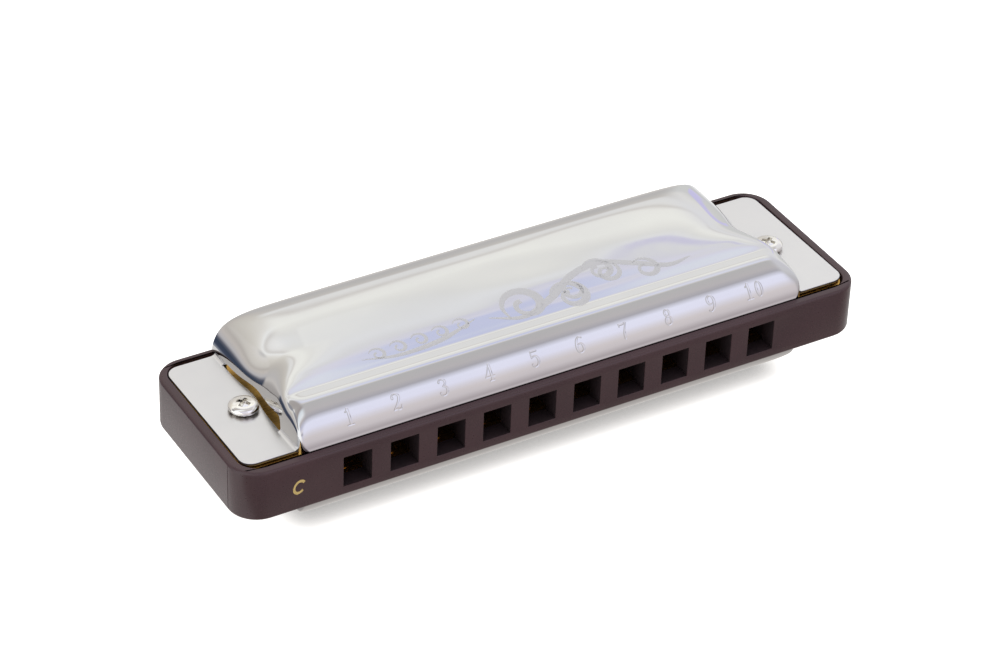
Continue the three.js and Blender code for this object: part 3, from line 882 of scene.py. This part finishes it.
def sunk(lines, x, y):
    """How deep the stamped number lies at points x, y."""
    away = np.hypot(x[..., None] - lines[:, 0], y[..., None] - lines[:, 1]) - lines[:, 2]
    return NUMBER_DEPTH * smooth_step(0.5 - away.min(axis=-1) / NUMBER_EDGE)


def engrave_numbers(vertices, outer):
    """Puts a fine patch with its number above each hole. Gives the patches' faces, the coarse faces that
    they stand for, and the points that they add along the coarse edges round them."""
    skin = Skin(0)
    faces = []
    taken = set()
    between = {}
    first_row, last_row = NUMBER_ROWS
    fine_rows = (last_row - first_row) * NUMBER_PARTS
    coarse_x = skin.row(*skin.roll_station(sum(NUMBER_ROWS) / 2 / ROLL_STEPS), COLUMNS)[0]
    for hole in HOLES:
        middle_x = hole_x(hole)
        reach = 2.05 if hole == HOLE_COUNT else 1.15
        near = np.flatnonzero(np.abs(coarse_x - middle_x) < reach)
        first, last = near[0] - 1, near[-1] + 1
        parts = math.ceil((coarse_x[last] - coarse_x[first]) / (last - first) / NUMBER_GRID)
        columns = np.linspace(COLUMNS[first], COLUMNS[last], (last - first) * parts + 1)
        lines = number_lines(hole)
        patch = []
        for number in range(fine_rows + 1):
            share = (first_row + number / NUMBER_PARTS) / ROLL_STEPS
            angle = math.pi / 2 * share
            y, rise = skin.roll_station(share)
            xs, zs = skin.row(y, rise, columns)
            depth = sunk(lines, xs - middle_x, np.full_like(xs, (angle - NUMBER_MIDDLE) * NUMBER_RADIUS))
            coarse = outer[1 + first_row + number // NUMBER_PARTS][1 + first:]
            row = []
            for place, (x, z, deep) in enumerate(zip(xs, zs, depth)):
                at_end = place in (0, len(xs) - 1) and number % NUMBER_PARTS == 0
                if at_end or (number in (0, fine_rows) and place % parts == 0):
                    row.append(coarse[place // parts])
                else:
                    row += added(vertices, [(x, y + deep * math.cos(angle), z - deep * math.sin(angle))])
            patch.append(row)
        for row, after in zip(patch, patch[1:]):
            for place in range(len(row) - 1):
                add_face(faces, row[place], row[place + 1], after[place + 1], after[place])
        sides = [(patch[0], parts), (patch[-1], parts)]
        sides += [([row[place] for row in patch], NUMBER_PARTS) for place in (0, -1)]
        for side, gap in sides:
            for place in range(0, len(side) - 1, gap):
                between[side[place], side[place + gap]] = side[place + 1:place + gap]
        taken |= {(1 + row, 1 + column) for row in range(*NUMBER_ROWS) for column in range(first, last)}
    return faces, taken, between


def cover_tab(side):
    """A tab with its screw hole. Its inner edge follows the vent, and its front stands up a little."""
    outline = [(TAB_INNER_X, TAB_BACK_Y)]
    for y in np.linspace(VENT_BACK_Y, VENT_FRONT_Y, 29):
        outline.append((float(Skin(0).end_x(y)) + VENT_EDGE, y))
    outline += [(TAB_INNER_X, VENT_FRONT_Y - 0.1), (TAB_INNER_X, TAB_FRONT_Y)]
    corner_x = TAB_END_X - TAB_CORNER
    outline += arc(corner_x, TAB_FRONT_Y + TAB_CORNER, TAB_CORNER, -90, 0, 16)
    outline += arc(corner_x, TAB_BACK_Y - TAB_CORNER, TAB_CORNER, 0, 90, 16)
    if side < 0:
        outline = [(-x, y) for x, y in reversed(outline)]
    tab = flat_plate([outline, SCREW_HOLES[side > 0]], PLATE_TOP, TAB_TOP, 0.08)
    mesh = joined([tab, tab_bend(side, TAB_FRONT_Y, VENT_FRONT_Y), tab_bend(side, VENT_BACK_Y, TAB_BACK_Y)])
    for vertex in mesh.vertices:
        vertex.co.z += TAB_LIFT * (TAB_BACK_Y - vertex.co.y) / (TAB_BACK_Y - TAB_FRONT_Y)
    for face in mesh.polygons:
        face.material_index = 1
    return mesh


def tab_bend(side, start_y, end_y, rows=16, steps=8):
    """The hollow bend between an end wall and its tab, as a strip along the wall's foot."""
    vertices = []
    grids = ([], [])
    for y in np.linspace(start_y, end_y, rows + 1):
        foot_x = float(Skin(0).end_x(y))
        bend = []
        base = []
        for step in range(steps + 1):
            angle = math.pi / 2 * step / steps
            x = foot_x - 0.03 + TAB_BEND * (1 - math.cos(angle))
            bend.append((side * x, y, TAB_TOP + TAB_BEND * (1 - math.sin(angle))))
            base.append((side * (foot_x - 0.2 + TAB_BEND * step / steps), y, TAB_TOP - 0.15))
        for grid, points in zip(grids, (bend, base)):
            grid.append(added(vertices, points))
    return closed_between(vertices, *grids)


def cover(numbered):
    return joined([cover_shell(numbered), cover_tab(-1), cover_tab(1)])


def covers():
    looks = [CHROME, TAB_CHROME]
    for level, mesh in (("upper", cover(True)), ("lower", below(cover(False)))):
        finish_piece(f"pressed_{level}_cover", mesh, looks, f"{level}_cover", sharp=50)
        for face in mesh.polygons:
            if face.material_index == 1 and abs(face.normal.z) > 0.999:
                face.use_smooth = False


# An etched scroll on the upper cover's panel

STEMS = [
    [(-27.5, -4.2, 0.06), (-22, -5.3, 0.3), (-15, -4.9, 0.42), (-8.5, -3.0, 0.08)],
    [(-6.5, -3.6, 0.08), (-1.5, -5.3, 0.4), (4, -3.4, 0.62), (9.5, -0.2, 0.6), (14.5, 0.6, 0.55),
     (19.5, -1.6, 0.5), (24, -3.8, 0.45), (28, -3.4, 0.08)],
]
SMALL_CURLS = [(-26 + 3.5 * step, -3.4 + 0.2 * step, 62, 1.35, 1.15, -1) for step in range(5)]
LARGE_CURLS = [
    (-3.5, -4.9, 118, 3.7, 1.3, -1), (4.0, -3.4, 78, 3.2, 1.25, -1), (11.5, 0.4, 62, 2.5, 1.2, -1),
    (8.0, -1.2, -12, 2.0, 1.1, -1), (15.5, 0.4, -22, 2.2, 1.15, -1), (19.0, -1.4, 40, 2.3, 1.2, -1),
]
CURL_CLOSING = 0.74
ETCH_HEIGHT = 0.012
ETCH_DEPTH = 0.08


def curl(x, y, heading, radius, turns, hand):
    """A tendril that leaves a stem at a heading in degrees and winds in on itself."""
    start = math.radians(heading)
    x -= hand * radius * math.sin(start)
    y += hand * radius * math.cos(start)
    points = []
    for share in np.linspace(0, 1, 15):
        angle = start + hand * (2 * math.pi * turns * share - math.pi / 2)
        reach = radius * (1 - CURL_CLOSING * share)
        width = radius * (0.035 + 0.13 * math.sin(math.pi * min(1, 1.35 * share)) + 0.09 * share)
        points.append((x + reach * math.cos(angle), y + reach * math.sin(angle), width))
    return points


def etched_ribbon(points):
    """A thin raised line that follows the panel."""
    skin = Skin(0)
    line = curve_through(points, 10)
    ahead = np.gradient(line[:, :2], axis=0)
    ahead /= np.hypot(ahead[:, 0], ahead[:, 1])[:, None]
    vertices = []
    grids = ([], [])
    for (x, y, half), (ahead_x, ahead_y) in zip(line, ahead):
        rows = ([], [])
        for share in (-1, -0.8, 0, 0.8, 1):
            at_x = x - ahead_y * half * share
            at_y = y + ahead_x * half * share
            z = float(skin.panel_z(at_x, at_y))
            rows[0].append((at_x, at_y, z + (ETCH_HEIGHT if abs(share) < 1 else ETCH_HEIGHT / 3)))
            rows[1].append((at_x, at_y, z - ETCH_DEPTH))
        for grid, row in zip(grids, rows):
            grid.append(added(vertices, row))
    return closed_between(vertices, *grids)


def ornament():
    ribbons = [etched_ribbon(points) for points in STEMS]
    ribbons += [etched_ribbon(curl(*numbers)) for numbers in SMALL_CURLS + LARGE_CURLS]
    finish_piece("etched_scroll", joined(ribbons), [ETCHED])


# Reed plates

def reed_plate(kind):
    top_z = reed_place(kind, 1)[3]
    loops = [recess_outline(PLATE_CLEARANCE)]
    for hole in HOLES:
        rivet_y, way, _, _ = reed_place(kind, hole)
        half = along_holes(TONGUE_WIDTHS, hole) / 2 + SLOT_CLEARANCE
        root_y = rivet_y + way * PAD_LENGTH / 2
        tip_y = root_y + way * (along_holes(TONGUE_LENGTHS, hole) + SLOT_CLEARANCE)
        x = hole_x(hole)
        loops.append(rounded_rectangle(x - half, x + half, min(root_y, tip_y), max(root_y, tip_y), 0.2, 4))
        loops.append(circle(x, rivet_y, PLATE_RIVET_HOLE, 24))
    loops += SCREW_HOLES
    loops += [circle(x, y, PLATE_SCREW_HOLE_RADIUS, 24) for x, y in PLATE_SCREW_PLACES]
    level = "upper" if kind == "blow" else "lower"
    mesh = flat_plate(loops, top_z - PLATE_THICKNESS, top_z, PLATE_EDGE, 2)
    finish_piece(f"{kind}_plate_brass", mesh, [PLATE_BRASS], f"{level}_reed_plate")


# Reeds and rivets

def reed(kind, hole):
    """A pad with a long tongue, as a grid of points above and below."""
    rivet_y, way, face_z, _ = reed_place(kind, hole)
    x = hole_x(hole)
    top_z = face_z - REED_GAP
    length = along_holes(TONGUE_LENGTHS, hole)
    half_tongue = along_holes(TONGUE_WIDTHS, hole) / 2
    half_pad = PAD_WIDTH / 2
    front = PAD_LENGTH / 2
    stations = [
        (-front, half_pad - 0.25, PAD_THICKNESS), (-front + 0.25, half_pad, PAD_THICKNESS),
        (front - 0.5, half_pad, PAD_THICKNESS), (front - 0.15, half_pad - 0.3, PAD_THICKNESS),
        (front, half_tongue, TONGUE_THICKNESS + 0.05),
    ]
    for along in np.arange(1, 25) / 24:
        thick = TONGUE_THICKNESS * (1 - 0.3 * math.sin(math.pi * min(1, along * 1.15)))
        stations.append((front + length * along, half_tongue, thick))
    vertices = []
    grids = ([], [])
    for lower, grid in enumerate(grids):
        for along, half, thick in stations:
            row = []
            for share, edge in ((-1, 0.02), (-0.94, 0), (0, 0), (0.94, 0), (1, 0.02)):
                z = top_z - thick * lower + (edge if lower else -edge)
                row.append((x + share * half, rivet_y + way * along, z))
            grid.append(added(vertices, row))
    mesh = closed_between(vertices, *grids)
    name = f"{kind}_reed_{hole}"
    obj = finish_piece(f"{kind}_reed_brass_{hole}", mesh, [REED_BRASS], name, None, 40)
    z = (top_z - TONGUE_THICKNESS / 2) * MM
    start, end = [
        (x * MM, (rivet_y + way * along) * MM, z) for along in (front - 0.2, front + length)
    ]
    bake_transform(obj)
    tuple(start)
    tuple(end)


def rivet(kind, hole):
    rivet_y, _, face_z, top = reed_place(kind, hole)
    head = face_z - 2 * REED_GAP - PAD_THICKNESS
    low = head - RIVET_HEAD_HEIGHT
    tail = top + RIVET_HEAD_HEIGHT
    profile = [
        (0, low), (0.6, low + 0.01), (0.95, low + 0.05), (RIVET_HEAD_RADIUS, low + 0.14),
        (RIVET_HEAD_RADIUS, head), (RIVET_RADIUS, head), (RIVET_RADIUS, top), (RIVET_TAIL_RADIUS, top),
        (RIVET_TAIL_RADIUS, top + 0.08), (0.8, tail - 0.03), (0.45, tail), (0.2, tail - 0.06),
        (0, tail - 0.08),
    ]
    mesh = turned(profile, hole_x(hole), rivet_y, 32)
    name = f"{kind}_rivet_brass_{hole}"
    finish_piece(name, mesh, [RIVET_BRASS], f"{kind}_rivet_{hole}")


# Screws and nuts

def cross_recess(x, y, top, reach, width, depth):
    """The two crossed wedges of a recess, turned to where the driver left them."""
    turn = Matrix.Rotation(math.radians(RECESS_TURN), 4, "Z")
    bars = []
    for half_x, half_y in ((reach, width / 2), (width / 2, reach)):
        bar = block((-half_x, -half_y, top - depth), (half_x, half_y, top + 0.5), 0.2 * width)
        bar.transform(Matrix.Translation((x, y, 0)) @ turn)
        bars.append(bar)
    return bars


def pan_head(seat, radius, height):
    """The outline of a pan head with a domed top, from its shank up to the axis."""
    profile = [(radius * 0.88, seat), (radius * 0.9, seat + 0.05)]
    for angle in range(-36, 85, 12):
        swing = math.radians(angle)
        profile.append((
            radius * (0.56 + 0.44 * math.cos(swing)), seat + height * (0.42 + 0.48 * math.sin(swing)),
        ))
    for share in (0.52, 0.42, 0.3, 0.15, 0):
        profile.append((radius * share, seat + height * (1 - 0.1 * share * share / 0.27)))
    return profile


def screw_mesh(x, y, seat, head_radius, head_height, shank_radius, shank_length):
    """A screw with shallow rings on its shank and a cross recess."""
    profile = [(0, seat - shank_length), (shank_radius * 0.8, seat - shank_length)]
    pitch = 0.5 if shank_radius > 0.9 else 0.35
    for z in np.arange(seat - shank_length + 0.12, seat - 0.3, pitch):
        profile += [(shank_radius, z), (shank_radius * 0.86, z + pitch / 2)]
    profile.append((shank_radius, seat - 0.05))
    body = turned(profile + pan_head(seat, head_radius, head_height), x, y, 64)
    top = seat + head_height
    for bar in cross_recess(x, y, top, head_radius * 0.5, head_radius * 0.36, head_height * 0.5):
        body = boolean(body, [bar])
    return body


def cover_hardware():
    for name, side in (("left", -1), ("right", 1)):
        x = side * SCREW_X
        mesh = screw_mesh(
            x, SCREW_Y, TAB_TOP + TAB_LIFT / 2, SCREW_HEAD_RADIUS, SCREW_HEAD_HEIGHT - TAB_LIFT / 2,
            SCREW_RADIUS, 2 * TAB_TOP + NUT_HEIGHT + SCREW_TAIL,
        )
        finish_piece(f"pan_screw_{name}", mesh, [SCREW_STEEL], f"cover_screw_{name}")
        loops = [circle(x, SCREW_Y, NUT_RADIUS, 6), circle(x, SCREW_Y, SCREW_HOLE_RADIUS)]
        nut = flat_plate(loops, -TAB_TOP - NUT_HEIGHT, -TAB_TOP, 0.1)
        finish_piece(f"hex_nut_{name}", nut, [NUT_STEEL], f"cover_nut_{name}")


def plate_screws():
    for number, (x, y) in enumerate(PLATE_SCREW_PLACES, 1):
        for level in ("upper", "lower"):
            mesh = screw_mesh(x, y, PLATE_TOP, *PLATE_SCREW)
            if level == "lower":
                below(mesh)
            name = f"{level}_plate_fixing_{number}"
            node = f"{level}_plate_screw_{number}"
            finish_piece(name, mesh, [PLATE_SCREW_STEEL], node)


comb()
key_letter()
covers()
ornament()
for kind in ("blow", "draw"):
    reed_plate(kind)
    for hole in HOLES:
        reed(kind, hole)
        rivet(kind, hole)
cover_hardware()
plate_screws()


# Floor, light and camera

# The floor's glow in its painted contact shadow and in the open
FLOOR_GLOW = (0.28, 1.05)
FLOOR_SHADE_REACH = 0.0037
LEFT_GLOW = 0.95


def level_sheet(name, corner, far_corner, z, colour, glow):
    """A level sheet on the stage that glows, and its look."""
    (x0, y0), (x1, y1) = corner, far_corner
    mesh = mesh_of([(x0, y0, z), (x1, y0, z), (x1, y1, z), (x0, y1, z)], [(0, 1, 2, 3)], name)
    look = Nodes(bpy.data.materials.new(name))
    look.set(Base_Color=(*colour, 1), Roughness=0.9)
    look.set(Emission_Color=(1, 0.985, 0.965, 1), Emission_Strength=glow)
    mesh.materials.append(look.owner)
    obj = new_object(name, mesh)
    return obj, look


def floor():
    """The pale floor, with a contact shadow painted into its glow, and the part of it that the left end
    mirrors.
    """
    z = cad_bounds[0][2]
    sheet, pale = level_sheet("floor", (-1.5, -1.5), (1.5, 1.5), z, (0.45, 0.445, 0.435), 0)
    # Painted shadow: the glow dims where ambient occlusion finds the harmonica close above
    open_above = pale.add("AmbientOcclusion", "AO", {"Distance": FLOOR_SHADE_REACH}, samples=8)
    pale.feed(Emission_Strength=pale.remap(open_above, 0.38, 0.9, *FLOOR_GLOW))
    sheet.visible_glossy = False
    corners = (-0.08, -0.02), (-0.0525, 0.05)
    mirrored, _ = level_sheet("left_floor", *corners, z + 1e-4, (0, 0, 0), LEFT_GLOW)
    for ray in ("camera", "diffuse", "transmission", "volume_scatter", "shadow"):
        setattr(mirrored, f"visible_{ray}", False)


# What a bright cover shows of the studio, by the direction that it mirrors. The bands lie along the
# harmonica: their angle turns about the X axis, from level behind (0) over the top (90) to level in front
# (180). Each colour is the one that the chrome shows there.
SKY_STRENGTH = 1.6
CENTRE_BANDS = [
    (-140, "9c9794"), (-90, "a29e9b"), (-30, "b8b4b1"), (-8, "bebbb8"), (8, "b0aead"), (22, "b4b2b0"),
    (35, "bebab6"), (39, "d9d9d8"), (42.6, "d9d8d6"), (43.3, "c4c0bc"), (44, "e2e1dd"), (48, "e6e6e1"),
    (50.4, "dcdbd7"), (51.6, "d6d6d4"), (52.6, "dddee0"), (54.2, "d2d2d3"), (55.6, "d7d7db"),
    (56.2, "cdcbe0"), (57.4, "d3d6e2"), (60.2, "d7dbe2"), (61, "c0bcdc"), (62, "cfccc9"), (65, "b2b1b1"),
    (88, "b4b0b2"), (102, "a6a4ab"), (108, "c0c0cc"), (118, "dddeef"), (136, "dcdced"), (150, "d2ced6"),
    (162, "cbc4c6"), (180, "c4bdc0"), (220, "80767a"),
]
SIDE_BANDS = [
    (-140, "8f8b88"), (-60, "8a8686"), (-14, "8f8b89"), (-4, "a09c9a"), (1, "bab6b3"), (8, "b2afae"),
    (22, "b4b0ab"), (30, "bbb6b0"), (36, "c3bfb8"), (40, "c9c5be"), (44, "d1cec8"), (47, "dcdad6"),
    (48.4, "e6e7e6"), (49.4, "ceccc9"), (50.4, "c2bdba"), (51.2, "dcdbd9"), (52, "e5e5e4"), (54, "e2e2e1"),
    (56.5, "a8a4a1"), (70, "989190"), (77, "d3dae0"), (88, "dfe2e6"), (98, "b2acac"),
    (112, "b8b9cd"), (130, "d4d0d6"), (139, "a09ea8"), (148, "cac8d5"), (180, "c4bdc0"), (220, "80767a"),
]
LEFT_BANDS = [
    (-140, "8f8b88"), (-60, "62646c"), (-36, "565c6a"), (-29, "8a8f96"), (-22, "7d828c"), (-17, "3c4254"),
    (-7, "343d4c"), (0, "585a66"), (8, "b0aeb0"), (18, "bbb5b0"), (25, "b1aca7"), (31, "c3bfb9"),
    (38, "cbc7c1"), (44, "d2cfcb"), (50, "8a8c94"), (70, "8e8a8c"), (77, "e2e8ec"), (100, "f2f4f6"),
    (150, "eeeded"), (190, "c8bfc0"), (220, "8a8082"),
]
RIGHT_BANDS = [
    (-140, "8f8b88"), (-90, "a8a5a2"), (-30, "d4d5d4"), (-12, "b9b9bb"), (0, "c0c1be"), (20, "c6c6c6"),
    (30, "d6d5d3"), (42, "d6d6d9"), (60, "c4c3ca"), (100, "c2c2c6"), (130, "b8b6ba"), (190, "aaa4a6"),
    (220, "6f6668"),
]

# Soft-edged cards in the studio: how far to the right each lies (from, to, softness), the angles that
# it covers (from, to, softness), its colour, and how strongly it shows
CARDS = [
    ((-1.2, -0.9, 0.04), (-180, 220, 1), "f8fafc", 0.9),
    ((0.705, 0.73, 0.015), (0, 34, 6), "bdb8e0", 0.8),
    ((0.4, 0.44, 0.03), (56.6, 58.6, 1), "b9bedc", 0.75),
    ((0.41, 0.46, 0.02), (54.7, 55.1, 0.4), "c3c2d8", 0.5),
    ((0.465, 0.5, 0.015), (52.9, 53.5, 0.5), "c0bdd6", 0.8),
    ((0.3, 0.385, 0.02), (50.8, 51.7, 0.4), "e4e4e1", 0.6),
]
# The light that falls on the plastic and the floor: strong from above and behind, weak from the front
SOFT_LIGHT = [(-140, 0.3), (-10, 0.8), (40, 1.3), (95, 1.5), (125, 0.7), (160, 0.32), (220, 0.2)]


def world():
    sky = Nodes(bpy.data.worlds.new("studio"), "Background")
    bpy.context.scene.world = sky.owner
    sky.set(Strength=SKY_STRENGTH)
    across, y, z = [
        sky.add("SeparateXYZ", axis, {"Vector": sky.add("TexCoord", "Generated")}) for axis in "XYZ"
    ]
    turn = sky.math("MULTIPLY", sky.math("ARCTAN2", z, y), 180 / math.pi)
    wrapped = sky.math("WRAP", turn, 220, -140)
    angle = sky.math("DIVIDE", sky.math("ADD", wrapped, 180), 400)

    def shade(colour):
        return [part / CHROME_TONE / SKY_STRENGTH for part in linear(colour)]

    def ramp(bands):
        return sky.ramp(angle, [((degrees + 180) / 400, colour) for degrees, colour in bands])

    def fade(source, low, high):
        return sky.remap(source, low, high, kind="SMOOTHSTEP")

    def mix(factor, first, second):
        return sky.add("Mix", "Result", {"Factor": factor, "A": first, "B": second}, data_type="RGBA")

    centre, side, left, right = [
        ramp([(degrees, shade(colour)) for degrees, colour in bands])
        for bands in (CENTRE_BANDS, SIDE_BANDS, LEFT_BANDS, RIGHT_BANDS)
    ]
    shown = mix(fade(across, 0.2, -0.05), centre, side)
    shown = mix(fade(across, -0.45, -0.54), shown, left)
    shown = mix(fade(across, 0.5, 0.62), shown, right)
    for sideways, upward, colour, alpha in CARDS:
        for value, (start, end, soft) in ((across, sideways), (wrapped, upward)):
            alpha = sky.math("MULTIPLY", alpha, fade(value, start - soft, start))
            alpha = sky.math("MULTIPLY", alpha, fade(value, end + soft, end))
        shown = mix(alpha, shown, (*shade(colour), 1))
    soft_light = ramp([(degrees, [level / SKY_STRENGTH] * 3) for degrees, level in SOFT_LIGHT])
    shown = mix(sky.add("LightPath", "Is Diffuse Ray"), shown, soft_light)
    sky.feed(Color=mix(sky.add("LightPath", "Is Camera Ray"), shown, (1, 1, 1, 1)))


def overhead_light():
    light = bpy.data.lights.new("overhead", "AREA")
    configured(light, shape="RECTANGLE", size=1.2, size_y=1.2, energy=9)
    obj = new_object("overhead", light)
    configured(obj, location=(0.1, -0.2, 1.1), visible_camera=False, visible_glossy=False)
    obj.rotation_euler = (-obj.location).to_track_quat("-Z", "Y").to_euler()


def camera():
    """Turned about Z, tilted and rolled, then moved back and a little aside."""
    data = bpy.data.cameras.new("camera")
    configured(data, sensor_fit="HORIZONTAL", sensor_width=36, lens=124.98, clip_start=0.01, clip_end=20)
    turn = Matrix.Rotation(math.radians(-31.161), 4, "Z")
    turn @= Matrix.Rotation(math.radians(90 - 35.430), 4, "X")
    turn @= Matrix.Rotation(math.radians(2.1965), 4, "Z")
    place = Vector((-1.9066, 2.0487, 510.73)) * MM
    obj = new_object("camera", data)
    obj.matrix_world = turn @ Matrix.Translation(place)
    bpy.context.scene.camera = obj


floor()
world()
overhead_light()
camera()
bpy.context.scene.view_settings.view_transform = "Standard"
